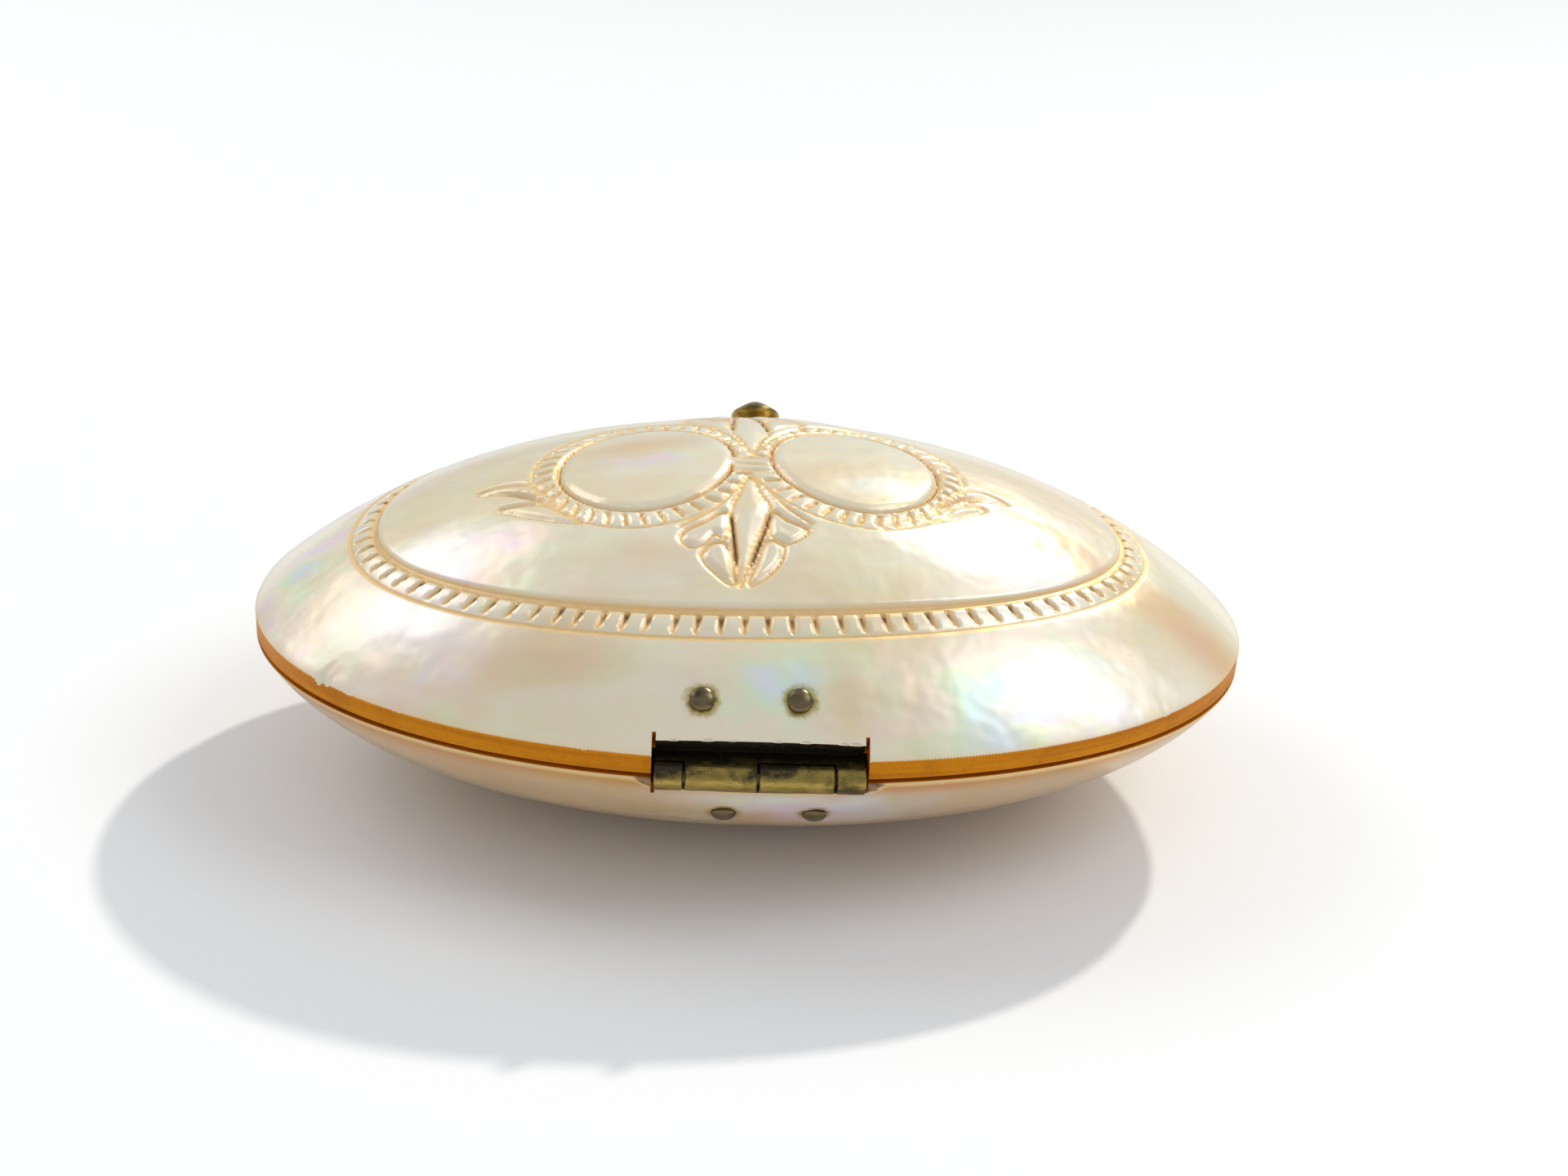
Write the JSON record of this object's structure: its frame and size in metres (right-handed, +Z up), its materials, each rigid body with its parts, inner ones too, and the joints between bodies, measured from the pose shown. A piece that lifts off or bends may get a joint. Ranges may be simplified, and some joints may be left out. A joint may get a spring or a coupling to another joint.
{
  "type": "oval pill box",
  "caption": "Oval lens-shaped mother-of-pearl pill box with a carved domed lid, a riveted brass hinge at the back and a brass press-knob catch at the front.",
  "frame": {"origin": "middle of the small flat foot that the base stands on", "axes": "+X along the long way of the oval, parallel to the hinge; +Y from the hinge to the catch; +Z up, with the lid closed"},
  "size_m": [0.07, 0.0494, 0.024],
  "materials": {
    "mother_of_pearl": "polished",
    "aged_brass": "satin",
    "dark_bronze": "satin"
  },
  "bodies": {
    "base": {"base_shell": "mother_of_pearl", "base_hinge_leaf": "aged_brass", "hinge_pin": "dark_bronze", "base_hinge_rivet_left": "dark_bronze", "base_hinge_rivet_right": "dark_bronze", "keeper_plate": "aged_brass", "keeper_rivet_left": "dark_bronze", "keeper_rivet_right": "dark_bronze"},
    "lid": {"lid_shell": "mother_of_pearl", "lid_hinge_leaf": "aged_brass", "lid_hinge_rivet_left": "dark_bronze", "lid_hinge_rivet_right": "dark_bronze", "catch_plate": "aged_brass", "catch_rivet_left": "dark_bronze", "catch_rivet_right": "dark_bronze", "knob_escutcheon": "aged_brass"},
    "catch": {"catch_spring": "aged_brass", "catch_knob": "aged_brass", "knob_burr": "aged_brass"}
  },
  "joints": [
    {"name": "lid_hinge", "type": "hinge", "parent": "base", "child": "lid", "pos_m": [0, -0.0241, 0.01085], "axis": [1, 0, 0], "range_deg": [0, 100]},
    {"name": "catch_press", "type": "hinge", "parent": "lid", "child": "catch", "pos_m": [0.0005, 0.01598, 0.0177], "axis": [-1, 0, 0], "range_deg": [0, 6], "stiffness_Nm_per_rad": 0.1}
  ]
}
